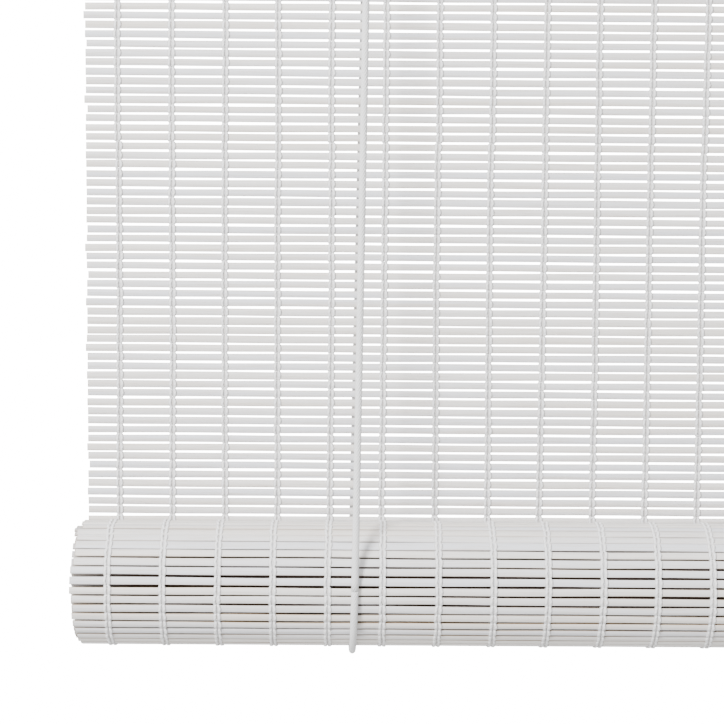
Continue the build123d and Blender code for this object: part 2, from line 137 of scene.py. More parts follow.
def ring_piece(name, rings, body, stands_for=(), uv_scale=(1, 1), **values):
    """A piece from an array of points of shape (tubes, rings, sides, 3), smooth along its sides.

    Its faces are turned outwards. It rides on a body, or on none.
    """
    tubes, count, sides = rings.shape[:3]
    points = rings.reshape(-1, 3)
    quads, caps, uv = ring_faces(tubes, count, sides)
    if signed_volume(points, quads) + signed_volume(points, caps) < 0:
        quads, caps = quads[:, ::-1], caps[:, ::-1]
        flipped = [uv[: quads.size].reshape(-1, 4, 2)[:, ::-1].reshape(-1, 2), uv[quads.size :]]
        uv = np.concatenate(flipped)
    mesh = bpy.data.meshes.new(name)
    mesh.vertices.add(len(points))
    mesh.vertices.foreach_set("co", points.ravel().astype(np.float32))
    corners = np.concatenate([quads.ravel(), caps.ravel()]).astype(np.int32)
    sizes = np.concatenate([np.full(len(quads), 4), np.full(len(caps), sides)]).astype(np.int32)
    mesh.loops.add(len(corners))
    mesh.loops.foreach_set("vertex_index", corners)
    mesh.polygons.add(len(sizes))
    mesh.polygons.foreach_set("loop_start", (np.cumsum(sizes) - sizes).astype(np.int32))
    mesh.update(calc_edges=True)
    mesh.validate()
    smooth = np.arange(len(mesh.polygons)) < len(quads)
    mesh.polygons.foreach_set("use_smooth", smooth)
    layer = mesh.uv_layers.new(name="UVMap")
    layer.data.foreach_set("uv", (uv * np.array(uv_scale)).astype(np.float32).ravel())
    for key, value in values.items():
        marks = mesh.attributes.new(key, "FLOAT", "POINT")
        marks.data.foreach_set("value", np.broadcast_to(value, rings.shape[:3]).astype(np.float32).ravel())
    piece = bpy.data.objects.new(name, mesh)
    bpy.context.scene.collection.objects.link(piece)
    if body:
        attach(piece, body)
    if stands_for:
        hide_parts(*stands_for)
    print(name, "faces:", len(mesh.polygons))
    return piece


# %% [markdown]
# ## The mat's path
# The hanging mat and the roll are one strip, so one function turns a distance along the mat into a place
# and a lean. Half circles meet tangentially, so the strip has no kink where one ends and the next begins.

# %% The path of the mat
half_turn_radii = roll_radius - np.arange(2 * roll_turns) * turn_spacing / 2
half_turn_starts = np.concatenate([[0], np.cumsum(np.pi * half_turn_radii)])
roll_length = float(half_turn_starts[-1])
roll_slats = int(roll_length / slat_pitch)


def mat_path(s):
    """Y, Z and lean at distance s along the mat.

    For s below 0 the mat hangs straight, s above the roll's centre. For s above 0, half circle k has radius
    r and centre c; the angle is the distance into it divided by r, and the point is c plus or minus r times
    (cos, -sin).
    """
    k = np.clip(np.searchsorted(half_turn_starts, s, side="right") - 1, 0, len(half_turn_radii) - 1)
    radius = half_turn_radii[k]
    angle = (s - half_turn_starts[k]) / radius
    over = k % 2
    facing = 1 - 2 * over
    y = roll_y - over * turn_spacing / 2 + facing * radius * np.cos(angle)
    z = roll_z - facing * radius * np.sin(angle)
    lean = over * np.pi - angle
    hangs = s < 0
    return np.where(hangs, mat_y, y), np.where(hangs, roll_z - s, z), np.where(hangs, 0.0, lean)


print("mat in the roll:", round(roll_length, 3), "m,", roll_slats, "slats")

# %% [markdown]
# ## Slats
# A bamboo slat is a split, planed strip: flat faces, eased edges, a slightly uneven width, and a gentle
# bow. An outline of ten points carried along X makes each one, and a seeded random generator gives it its
# own width, bow, tilt and end. The attribute named edge marks the narrow sides and the cut ends, where
# paint is thin, and tone tells slats apart. A third attribute is painted shade: it darkens the inner turns
# of the roll, whose paint is as white as the rest, for the shadow inside the roll, less near the slat ends.

# %% Slats
slat_outline_u = np.array([1, 1, 0.86, 0, -0.86, -1, -1, -0.86, 0, 0.86])
slat_outline_v = np.array([-0.45, 0.45, 1, 1, 1, 0.45, -0.45, -1, -1, -1])
upper_side_bare = 0.55
side_mark = np.where(slat_outline_u == 1, upper_side_bare, np.where(slat_outline_u == -1, 1.0, 0.0))
end_shares = np.array([0, 0.0009, 0.01, 0.025, 0.04])
middle_shares = (0.06, 0.94)
bow_waves = ((1.3, 3, 0.10), (4.3, 5, 0.08), (11.3, 7, 0.07))
bow_slope = 0.24
usual_width = 1.02
width_spread = 0.04
width_wave = 0.03
width_half_waves = 7
width_phase = 9
end_spread = 0.25 * mm
most_end_spread = 4
lean_spread = 0.02
depth_spread = 0.04
# Painted shade of the roll's inner turns: least at the slat ends, full a short way in.
least_deep = 0.25
deep_gain = 0.75
bright_end_share = 0.05
bright_end_power = 1.5


def ramp_up(value, start, width):
    """0 up to start, then evenly up to 1 over width, and 1 from there on."""
    return np.clip((value - start) / width, 0, 1)


def slats(name, places, rings, body, seed, stands_for=(), deep=0.0, shift=0.0, full=1.0):
    """Slats at distances places along the mat, each moved along X by shift and full times as wide.

    A point of slat n at share t of its length is its middle on the mat's path, plus u along the mat and v
    across its thickness. u is the outline's share of the half width plus the bow, which is a slope and the
    sum of a sine of t for each of bow_waves: half waves in a slat, spread of the phase, height in mm. v is
    the outline's share of the half thickness. Both are turned by the slat's lean.
    """
    rng = np.random.default_rng(seed)
    count = len(places)
    middle = np.linspace(*middle_shares, rings - 2 * len(end_shares))
    t = np.concatenate([end_shares, middle, 1 - end_shares[::-1]])[None, :]
    cut_end = np.where((t == 0) | (t == 1), 1.0, 0.0)
    own = rng.normal(0, 1, (8, count, 1))
    waves = [high * np.sin(np.pi * t * halves + phase * own[i])
             for i, (halves, phase, high) in enumerate(bow_waves)]
    bow = (sum(waves) + bow_slope * own[3] * (t - 0.5)) * mm
    full = np.broadcast_to(full, count)[:, None]
    wave = width_wave * np.sin(np.pi * t * width_half_waves + width_phase * own[5])
    uneven = usual_width + width_spread * own[4] + wave
    half_width = slat_width / 2 * full * uneven
    shift = np.broadcast_to(shift, count)[:, None]
    left = left_end + shift + end_spread * np.clip(own[6] ** 3, -most_end_spread, most_end_spread)
    right = right_end + shift + end_spread * np.clip(own[7] ** 3, -most_end_spread, most_end_spread)
    x = left + (right - left) * t
    y, z, lean = mat_path(np.asarray(places))
    lean = (lean + rng.normal(0, lean_spread, count))[:, None, None]
    u = slat_outline_u * half_width[:, :, None] + bow[:, :, None]
    v = slat_outline_v * slat_thick / 2 + rng.normal(0, depth_spread, (count, 1, 1)) * mm
    points = np.stack(
        [
            np.broadcast_to(x[:, :, None], u.shape),
            y[:, None, None] + v * np.cos(lean) - u * np.sin(lean),
            z[:, None, None] + v * np.sin(lean) + u * np.cos(lean),
        ],
        axis=-1,
    )
    tone = rng.uniform(0, 1, (count, 1, 1))
    edge = np.maximum(side_mark[None, None, :], cut_end[:, :, None])
    # Painted shade for the inner turns of the roll, weaker near the slat ends, where light gets in.
    from_end = ramp_up(np.minimum(t, 1 - t), 0, bright_end_share)
    inside = least_deep + deep_gain * from_end ** bright_end_power
    deep = np.broadcast_to(deep, count)[:, None, None] * inside[:, :, None]
    return ring_piece(name, points, body, stands_for, tone=tone, edge=edge, deep=deep)


# %% [markdown]
# ## Slats in a loose roll
# In a real roll the turns slip sideways, so the slats don't end in line. Here the ones at the front of the
# outer turn stand furthest to the left. Those that face up or down in that turn are made a little wider, so
# that the gaps there nearly close, and the turns further in get painted shade, a dark brown for the shadow
# inside the roll. Shifts are in millimetres, and places round the roll are in radians past its front.

# %% The slats of each stretch
outer_slats = 80
front_shift = -5.0
back_shift = 2.2
front_reach = 0.95
inner_shift = -1.9
inner_wander = 0.6
wander_slats = 17
shift_fade_slats = 8
deep_fade_slats = 6
upper_wider = 0.18
upper_from, upper_over = 0.5, 0.3
lower_wider = 0.14
lower_from, lower_over = 0.8, 0.4

upper_length = mat_top - take_up_top
drop_length = take_up_top - roll_z
upper_places = -(drop_length + (np.arange(round(upper_length / slat_pitch)) + 0.5) * slat_pitch)
drop_places = -(np.arange(round(drop_length / slat_pitch)) + 0.5) * slat_pitch
roll_places = (np.arange(roll_slats) + 0.5) * slat_pitch
number = np.arange(roll_slats)
turn_slats = 2 * np.pi * roll_radius / slat_pitch
# Painted shade for the turns inside the outer one; a slat where it is above 0 also counts as inner.
roll_deep = ramp_up(number, turn_slats, deep_fade_slats)
past_front = (number - turn_slats / 2) * slat_pitch / roll_radius
outer_shifts = back_shift + front_shift * np.exp(-((past_front / front_reach) ** 2))
outer_shifts = outer_shifts * ramp_up(number, 0, shift_fade_slats)
inner_shifts = inner_shift + inner_wander * np.sin(number / wander_slats)
roll_shift = np.where(roll_deep > 0, inner_shifts, outer_shifts) * mm
upper_gain = upper_wider * ramp_up(past_front, upper_from, upper_over)
lower_gain = lower_wider * ramp_up(-past_front, lower_from, lower_over)
roll_full = np.where(roll_deep > 0, 1.0, 1 + upper_gain + lower_gain)
print("slats:", len(upper_places), "above,", len(drop_places), "hanging,", roll_slats, "in the roll")

upper_slats = slats("upper_mat_slats", upper_places, 50, "head", 11, ["upper_slats"])
drop_slats = slats("hanging_mat_slats", drop_places, 58, "head", 12, ["drop_slats"])
outer_roll = slats("outer_roll_slats", roll_places[:outer_slats], 58, "roll", 13, ["rolled_mat"],
                   roll_deep[:outer_slats], roll_shift[:outer_slats], roll_full[:outer_slats])
inner_roll = slats("inner_roll_slats", roll_places[outer_slats:], 14, "roll", 14, (),
                   roll_deep[outer_slats:], roll_shift[outer_slats:])

# %% [markdown]
# ## Yarn
# Each column is woven from two pairs of soft yarn. In a pair, one strand lies in front of a slat while the
# other lies behind it, and they change places in the gap below. So a strand is a flat tube whose distance
# from the mat's middle changes sign from slat to slat, and it is narrow and drawn in where it goes through
# a gap.

# %% Yarn
strand_half_width = 1.0 * mm
strand_half_thick = 0.45 * mm
strand_out = slat_thick / 2 + 0.40 * mm
strand_aside = 1.3 * mm
weave_shares = np.array([-0.5, -0.33, 0.0, 0.33])
weave_out = np.array([0.0, 0.9, 1.0, 0.9])
weave_pinch = np.array([0.58, 0.88, 1.03, 0.88])
column_wander = 0.35 * mm
wander_length = 70 * mm
slat_jog = 0.13
width_shares = (0.75, 0.25)
thick_shares = (0.8, 0.2)
strand_spread = 0.06
yarn_turn = 2 * mm


def yarn(name, first, count, body, seed, sides=6, plain=False, stands_for=()):
    """The strands of every column over count slats, from distance first along the mat.

    Each slat gives four rings: one in the gap before it and three over it. A ring is an ellipse in the
    plane of X and the mat's normal. Its centre lies out from the mat by plus or minus strand_out, the sign
    changing at each gap, and aside from the column's middle by strand_aside times the pinch. Width and
    thickness are a fixed share and one that follows the pinch. plain keeps one pair of strands.
    """
    rng = np.random.default_rng(seed)
    shares = weave_shares[[0, 2]] if plain else weave_shares
    out = weave_out[[0, 2]] if plain else weave_out
    pinch = weave_pinch[[0, 2]] if plain else weave_pinch
    n = np.arange(count)[:, None]
    s = (first + (n + 0.5 + shares) * slat_pitch).ravel()
    sign = np.where(np.broadcast_to(n, (count, len(shares))) % 2 == 0, 1.0, -1.0).ravel()
    s = np.append(s, first + count * slat_pitch)
    sign = np.append(sign, 1.0)
    out = np.append(np.tile(out, count), out[0])
    pinch = np.append(np.tile(pinch, count), pinch[0])
    y, z, lean = mat_path(s)
    pairs = [(1, 1), (-1, -1)] if plain else [(1, 1), (1, -1), (-1, 1), (-1, -1)]
    side, start = (np.array(p, dtype=float)[None, :, None] for p in zip(*pairs))
    start_phase = rng.uniform(0, 6, (column_count, 1, 1))
    wander = column_wander * np.sin(s[None, None, :] / wander_length + start_phase)
    jog = np.repeat(rng.normal(0, slat_jog, (column_count, 1, count)), len(shares), axis=2) * mm
    wander = wander + np.concatenate([jog, jog[:, :, -1:]], axis=2)
    loose = 1 + strand_spread * rng.normal(0, 1, (column_count, len(pairs), len(s)))
    x = columns[:, None, None] + wander + side * strand_aside * pinch * loose
    v = start * sign * out * strand_out * loose
    angle = np.arange(sides) / sides * 2 * np.pi
    across = strand_half_width * (width_shares[0] + width_shares[1] * pinch[:, None]) * np.cos(angle)
    thick = strand_half_thick * (thick_shares[0] + thick_shares[1] * pinch[:, None]) * np.sin(angle)
    v = v[..., None] + thick
    points = np.stack(
        [
            x[..., None] + across,
            y[:, None] + v * np.cos(lean)[:, None],
            z[:, None] + v * np.sin(lean)[:, None],
        ],
        axis=-1,
    )
    points = points.reshape(-1, len(s), sides, 3)
    return ring_piece(name, points, body, stands_for, uv_scale=(1, count * slat_pitch / yarn_turn))


upper_yarn = yarn("upper_mat_yarn", -(drop_length + upper_length), len(upper_places), "head", 21,
                  stands_for=["upper_bindings"])
low_count = len(drop_places) // 2
high_count = len(drop_places) - low_count
drop_yarn_high = yarn("hanging_mat_yarn_high", -drop_length, high_count, "head", 22,
                      stands_for=["drop_bindings"])
drop_yarn_low = yarn("hanging_mat_yarn_low", -low_count * slat_pitch, low_count, "head", 23)
outer_count = 52
outer_yarn = yarn("outer_roll_yarn", 0.0, outer_count, "roll", 24, stands_for=["rolled_bindings"])
inner_yarn = yarn("inner_roll_yarn", outer_count * slat_pitch, roll_slats - outer_count, "roll", 25,
                  sides=4, plain=True)

# %% [markdown]
# ## Own meshes for the hanging mat
# When the roll rises, it winds up the mat behind it. Here the hanging slats and yarn each get a mesh
# of their own.

# %% Hanging mat meshes
for piece in (drop_slats, drop_yarn_high, drop_yarn_low):
    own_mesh(piece)

# %% [markdown]
# ## Lift cords
# A lift cord is 4 mm braid, pulled tight by the roll's weight. Each one goes down behind the mat, under the
# roll, up in front, over a pulley and down to the pull. It leans a little where it goes round the roll, and
# the front stretch stands 1.5 mm out just above it, to stay clear of the raised roll. The stretches move
# differently, so each is a piece of its own, a round tube of rings set square to its line, and the lines
# meet end to end.

# %% Cord tubes
most_along_x = 0.75


def tube_rings(line, radius, sides=12):
    """Rings of a round tube along a line of points.

    A ring's point is the line's point plus radius times (cos a * n + sin a * b), where n is the part of a
    fixed helper direction that is square to the line's tangent, and b is the tangent crossed with n.
    """
    line = np.asarray(line, dtype=float)
    tangent = np.gradient(line, axis=0)
    tangent /= np.linalg.norm(tangent, axis=1, keepdims=True)
    helper = np.where(np.abs(tangent[:, :1]) < most_along_x, [[1.0, 0.0, 0.0]], [[0.0, 1.0, 0.0]])
    n = helper - np.sum(helper * tangent, axis=1, keepdims=True) * tangent
    n /= np.linalg.norm(n, axis=1, keepdims=True)
    b = np.cross(tangent, n)
    a = np.arange(sides) / sides * 2 * np.pi
    radius = np.broadcast_to(radius, len(line))[:, None, None]
    offsets = np.cos(a)[None, :, None] * n[:, None, :] + np.sin(a)[None, :, None] * b[:, None, :]
    return (line[:, None, :] + radius * offsets)[None]


def run_length(line):
    """The sum of the distances from each point of a line to the next."""
    return float(np.linalg.norm(np.diff(line, axis=0), axis=1).sum())


def straight(start, end, spacing=6 * mm):
    """Points from start to end, evenly spaced."""
    start, end = np.array(start), np.array(end)
    count = max(3, int(np.linalg.norm(end - start) / spacing) + 1)
    return start + (end - start) * np.linspace(0, 1, count)[:, None]


def arc(centre, radius, first, last, plane, count):
    """Points on a circle arc: centre plus radius times (cos a * plane[0] + sin a * plane[1])."""
    a = np.linspace(first, last, count)[:, None]
    return np.array(centre) + radius * (np.cos(a) * np.array(plane[0]) + np.sin(a) * np.array(plane[1]))


def cord_piece(name, line, body, node):
    """One stretch of lift cord: a round tube along its line, in place of its CAD node."""
    length = run_length(line)
    rings = tube_rings(line, cord_dia / 2)
    piece = ring_piece(name, rings, body, [node], uv_scale=(1, length / cord_dia))
    return piece


def taken_up(piece):
    """Gives a stretch of cord a mesh of its own."""
    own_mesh(piece)
    return piece


# %% [markdown]
# ## Routes of the lift cords
# A tight cord is straight between the things that it touches, and lies on them as an arc. Its line is worked
# out from the boxes of its CAD solids, one stretch at a time, so each stretch starts where the last one ends.

# %% Cord routes
loop_radius = roll_radius + mat_half_thick + cord_gap + cord_dia / 2
loop_drift = 2.0 * mm
turn_radius = 8.5 * mm
bulge_out = 1.5 * mm
bulge_share = 0.1
tail_gap = 0.2 * mm
fine_step = 2 * mm
loop_points = 56
turn_points = 18
upright = ((1, 0, 0), (0, 0, 1))
bell_low, bell_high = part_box("pull_bell")
bell_y = (bell_low[1] + bell_high[1]) / 2
cords = []
for side in ("left", "right"):
    loop_low, loop_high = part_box(f"{side}_loop_cord")
    top_low, top_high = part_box(f"{side}_top_cord")
    back_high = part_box(f"{side}_back_cord")[1]
    tail_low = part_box(f"{side}_tail_cord")[0]
    cord_x = (loop_low[0] + loop_high[0]) / 2
    guide_x = top_low[0] + cord_dia / 2
    guide_y = (top_low[1] + top_high[1]) / 2
    tail_x = top_high[0] - cord_dia / 2
    stub_z = float(top_low[2])
    run_z = float(top_high[2]) - cord_dia / 2
    anchor_y = float(back_high[1]) - cord_dia / 2

    reach_y, reach_z = guide_y - roll_y, stub_z - roll_z
    leave = np.pi + np.arcsin(loop_radius / np.hypot(reach_y, reach_z)) + np.arctan2(reach_y, reach_z)
    meet = np.arctan2(anchor_y - roll_y - loop_radius, back_high[2] - roll_z)
    loop = arc((cord_x, roll_y, roll_z), loop_radius, meet, leave, ((0, 1, 0), (0, 0, -1)), loop_points)
    loop[:, 0] -= loop_drift * np.sin(np.linspace(np.pi / 2, 0, len(loop)))
    cords.append(cord_piece(f"{side}_lift_cord_under_roll", loop, "lift_loops", f"{side}_loop_cord"))

    back = straight((guide_x, anchor_y, back_high[2]), loop[0])
    piece = cord_piece(f"{side}_lift_cord_behind_mat", back, "head", f"{side}_back_cord")
    cords.append(taken_up(piece))

    front = straight((guide_x, guide_y, stub_z), loop[-1])
    above_roll = np.linspace(1, 0, len(front)) / bulge_share
    front[:, 1] -= bulge_out * above_roll * np.exp(1 - above_roll)
    piece = cord_piece(f"{side}_lift_cord_in_front", front, "head", f"{side}_front_cord")
    cords.append(taken_up(piece))

    turn_z = run_z - turn_radius
    pulley_middle = (guide_x + turn_radius, guide_y, turn_z)
    roller_middle = (tail_x - turn_radius, guide_y, turn_z)
    over_pulley = arc(pulley_middle, turn_radius, np.pi, np.pi / 2, upright, turn_points)
    over_roller = arc(roller_middle, turn_radius, np.pi / 2, 0, upright, turn_points)
    rise = straight((guide_x, guide_y, stub_z), over_pulley[0], fine_step)
    along = straight(over_pulley[-1], over_roller[0])
    drop = straight(over_roller[-1], (tail_x, guide_y, stub_z), fine_step)
    top = np.concatenate([rise[:-1], over_pulley, along[1:-1], over_roller, drop[1:]])
    cords.append(cord_piece(f"{side}_lift_cord_over_pulley", top, "head", f"{side}_top_cord"))

    low_y = bell_y + (1 if side == "left" else -1) * (cord_dia / 2 + tail_gap)
    tail = straight((tail_x, guide_y, stub_z), (tail_x, low_y, tail_low[2]))
    piece = cord_piece(f"{side}_lift_cord_tail", tail, None, f"{side}_tail_cord")
    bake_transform(piece)
    cords.append(piece)
    print(side, "cord:", round(sum(run_length(line) for line in (back, loop, front, top, tail)), 3), "m")

# %% [markdown]
# ## Knots
# A cord ends in an overhand knot, pulled tight. A trefoil, the closed curve of that knot, has a short
# formula, so the knot is a tube along it, scaled to the size of its CAD solid.

# %% Knots
knot_depth = 1.3
knot_points = 97
knot_sides = 10
anchor_knot_thick = 0.8 * mm
pull_knot_thick = 1.6 * mm


def knot(name, node, body, thick):
    """A tube along a trefoil, scaled to the node's box.

    Its point at angle t is (sin t + 2 sin 2t, -knot_depth sin 3t, cos t - 2 cos 2t).
    """
    low, high = (np.array(corner, dtype=float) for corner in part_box(node))
    t = np.linspace(0, 2 * np.pi, knot_points)
    x = np.sin(t) + 2 * np.sin(2 * t)
    y = -knot_depth * np.sin(3 * t)
    z = np.cos(t) - 2 * np.cos(2 * t)
    line = np.stack([x, y, z], axis=-1)
    line *= ((high - low).min() / 2 - thick * 0.5) / np.abs(line).max()
    line += (low + high) / 2
    braid_repeats = run_length(line) / cord_dia
    return ring_piece(name, tube_rings(line, thick, knot_sides), body, [node], uv_scale=(1, braid_repeats))


knots = []
for side in ("left", "right"):
    knots.append(knot(f"{side}_anchor_knot_tied", f"{side}_anchor_knot", "head", anchor_knot_thick))
knots.append(knot("pull_knot_tied", "pull_knot", "pull", pull_knot_thick))

# %% [markdown]
# ## Shared effects for the materials
# Painted bamboo and painted wood both show grain, and yarn and cord both show twisted fibres. Each effect
# is a node group with named inputs, made once and placed in each material with that material's own values.

# %% Node groups
def link_group(name, inputs, outputs):
    """An empty shader group with float or colour sockets, and its two end nodes."""
    group = bpy.data.node_groups.new(name, "ShaderNodeTree")
    for label, kind, value in inputs:
        socket = group.interface.new_socket(label, in_out="INPUT", socket_type=kind)
        socket.default_value = value
    for label, kind in outputs:
        group.interface.new_socket(label, in_out="OUTPUT", socket_type=kind)
    return group, group.nodes.new("NodeGroupInput"), group.nodes.new("NodeGroupOutput")


def place(tree, kind, links=(), **settings):
    """A node with its settings, and links given as (input name or number, source socket)."""
    node = tree.nodes.new(kind)
    for key, value in settings.items():
        setattr(node, key, value)
    for key, source in links:
        if hasattr(source, "links"):
            tree.links.new(source, node.inputs[key])
        else:
            node.inputs[key].default_value = source
    return node


def math_node(tree, operation, a, b):
    """A math node's output for two inputs, each a socket or a number."""
    return place(tree, "ShaderNodeMath", [(0, a), (1, b)], operation=operation).outputs[0]


def noise(tree, where, scale, **settings):
    """A noise texture's value at a vector socket, for a scale and other inputs by name."""
    inputs = [(key.capitalize(), value) for key, value in settings.items()]
    return place(tree, "ShaderNodeTexNoise", [("Vector", where), ("Scale", scale), *inputs]).outputs[0]


def remap(tree, value, start, end, low=0.0, high=1.0):
    """A value turned into low at start and high at end, evenly between them and level past them."""
    ends = [("From Min", start), ("From Max", end), ("To Min", low), ("To Max", high)]
    return place(tree, "ShaderNodeMapRange", [("Value", value), *ends]).outputs[0]


patch_to_streak = 9.0
groove_level = -0.55


def grain_group():
    """Wood grain: noise on Object coordinates, drawn out along X, in fine streaks over slow patches."""
    tree, given, result = link_group(
        "wood_grain",
        [("Fineness", "NodeSocketFloat", 900.0), ("Streak", "NodeSocketFloat", 30.0)],
        [("Streaks", "NodeSocketFloat"), ("Patches", "NodeSocketFloat")],
    )
    where = place(tree, "ShaderNodeTexCoord").outputs["Object"]
    parts = place(tree, "ShaderNodeSeparateXYZ", [(0, where)])
    x = math_node(tree, "DIVIDE", parts.outputs["X"], given.outputs["Streak"])
    across = [("Y", parts.outputs["Y"]), ("Z", parts.outputs["Z"])]
    drawn = place(tree, "ShaderNodeCombineXYZ", [("X", x), *across]).outputs[0]
    fine = noise(tree, drawn, given.outputs["Fineness"], detail=4.0)
    slow_scale = math_node(tree, "DIVIDE", given.outputs["Fineness"], patch_to_streak)
    slow = noise(tree, drawn, slow_scale, detail=2.0)
    tree.links.new(fine, result.inputs["Streaks"])
    tree.links.new(slow, result.inputs["Patches"])
    return tree


def twist_group():
    """Fibres on a tube's own UVs: a sine of along plus around, and its mirror added for a braid."""
    tree, given, result = link_group(
        "fibre_twist",
        [
            ("Turns", "NodeSocketFloat", 1.0),
            ("Strands", "NodeSocketFloat", 2.0),
            ("Braid", "NodeSocketFloat", 0.0),
        ],
        [("Height", "NodeSocketFloat"), ("Groove", "NodeSocketFloat")],
    )
    where = place(tree, "ShaderNodeTexCoord").outputs["UV"]
    parts = place(tree, "ShaderNodeSeparateXYZ", [(0, where)])
    around = math_node(tree, "MULTIPLY", parts.outputs["X"], given.outputs["Strands"])
    along = math_node(tree, "MULTIPLY", parts.outputs["Y"], given.outputs["Turns"])
    one, two = (math_node(tree, "MULTIPLY", math_node(tree, step, along, around), 2 * np.pi)
                for step in ("ADD", "SUBTRACT"))
    one = math_node(tree, "SINE", one, 0.0)
    two = math_node(tree, "MULTIPLY", math_node(tree, "SINE", two, 0.0), given.outputs["Braid"])
    height = math_node(tree, "ADD", one, two)
    tree.links.new(height, result.inputs["Height"])
    groove = math_node(tree, "LESS_THAN", height, groove_level)
    tree.links.new(groove, result.inputs["Groove"])
    return tree


def wear_group():
    """Handling marks: slow noise sharpened into thin, scattered patches, from 0 for clean to 1 for worn."""
    tree, given, result = link_group(
        "light_wear",
        [("Scale", "NodeSocketFloat", 40.0), ("Amount", "NodeSocketFloat", 0.4)],
        [("Mask", "NodeSocketFloat")],
    )
    where = place(tree, "ShaderNodeTexCoord").outputs["Object"]
    cloud = noise(tree, where, given.outputs["Scale"], detail=6.0, roughness=0.65)
    marks = remap(tree, cloud, 0.5, 0.72)
    tree.links.new(math_node(tree, "MULTIPLY", marks, given.outputs["Amount"]), result.inputs["Mask"])
    return tree


wood_grain, fibre_twist, light_wear = grain_group(), twist_group(), wear_group()
print("effects:", wood_grain.name, fibre_twist.name, light_wear.name)

# %% [markdown]
# ## Materials
# Every finish here is one Principled shader with its colour, roughness and bump worked out by nodes. The same
# few steps come back in each material, so they are short functions, and a material reads as a list of them.

# %% Material helpers
def new_material(name, colour, roughness):
    """A material with its Principled shader set to a colour and roughness."""
    material = bpy.data.materials.new(name)
    material.use_nodes = True
    shader = material.node_tree.nodes["Principled BSDF"]
    shader.inputs["Base Color"].default_value = (*colour, 1)
    shader.inputs["Roughness"].default_value = roughness
    return material, material.node_tree, shader


def group_node(tree, group, **values):
    """A shared effect placed in a material, with its inputs set."""
    node = place(tree, "ShaderNodeGroup", node_tree=group)
    for key, value in values.items():
        node.inputs[key].default_value = value
    return node


def mix(tree, share, a, b):
    """The colour a turned towards b by a share; each is a socket or an RGB colour."""
    node = tree.nodes.new("ShaderNodeMix")
    node.data_type = "RGBA"
    for socket, value in ((node.inputs["Factor"], share), (node.inputs[6], a), (node.inputs[7], b)):
        if hasattr(value, "links"):
            tree.links.new(value, socket)
        else:
            socket.default_value = value if isinstance(value, float) else (*value, 1)
    return node.outputs[2]


def attribute(tree, name):
    """The value of one of a mesh's own attributes."""
    return place(tree, "ShaderNodeAttribute", attribute_name=name).outputs["Fac"]


def add_bump(tree, shader, height, distance):
    """A bump of full strength from a height socket into the shader's normal."""
    bump = place(tree, "ShaderNodeBump", [("Strength", 1.0), ("Distance", distance), ("Height", height)])
    tree.links.new(bump.outputs[0], shader.inputs["Normal"])


# %% [markdown]
# ## Painted bamboo
# The slats are off-white paint over bamboo: thin on the narrow sides, where brown shows through, with fibres
# along the slat that catch the light. A picture of wood could show that, but noise drawn out along the slat
# never repeats, and the attributes made with the mesh carry what differs from one slat to the next.

# %% Painted bamboo
def painted_bamboo():
    """White paint, warmer by the slat's tone, browner by its edge mark, and streaked by the grain.

    Fine streaks and slow patches of the grain each turn the paint towards a thinner, browner coat. Bare
    wood shows on the narrow sides and the cut ends, more in some patches than in others.
    """
    cool_paint = (0.775, 0.79, 0.84)
    warm_paint = (0.865, 0.83, 0.785)
    thin_paint = (0.67, 0.605, 0.53)
    stained_paint = (0.80, 0.735, 0.66)
    bare_wood = (0.36, 0.255, 0.16)
    # Painted shade for the roll's inner turns, dark brown.
    deep_wood = (0.10, 0.055, 0.03)
    material, tree, shader = new_material("painted_bamboo", (0.8, 0.79, 0.78), 0.5)
    grain = group_node(tree, wood_grain, Fineness=1300.0, Streak=40.0)
    streaks, patches = grain.outputs["Streaks"], grain.outputs["Patches"]
    colour = mix(tree, attribute(tree, "tone"), cool_paint, warm_paint)
    colour = mix(tree, remap(tree, streaks, 0.5, 0.7, high=0.55), colour, thin_paint)
    colour = mix(tree, remap(tree, patches, 0.5, 0.66, high=0.7), colour, stained_paint)
    bare = math_node(tree, "MULTIPLY", attribute(tree, "edge"), remap(tree, patches, 0.36, 0.6, low=0.25))
    colour = mix(tree, bare, colour, bare_wood)
    # Painted shade: the roll's inner turns go dark brown, for the shadow inside the roll.
    colour = mix(tree, attribute(tree, "deep"), colour, deep_wood)
    tree.links.new(colour, shader.inputs["Base Color"])
    tree.links.new(remap(tree, streaks, 0.0, 1.0, 0.4, 0.65), shader.inputs["Roughness"])
    add_bump(tree, shader, streaks, 0.2 * mm)
    return material


bamboo = painted_bamboo()
print("slats:", bamboo.name, "with", len(bamboo.node_tree.nodes), "nodes")

# %% [markdown]
# ## Yarn and cord
# Both are matt, and twisted or braided from fibres far too many to model. The tube's own UVs run round it and
# along it, so a slanting wave in them gives the twist as a bump, with painted shade in its grooves.

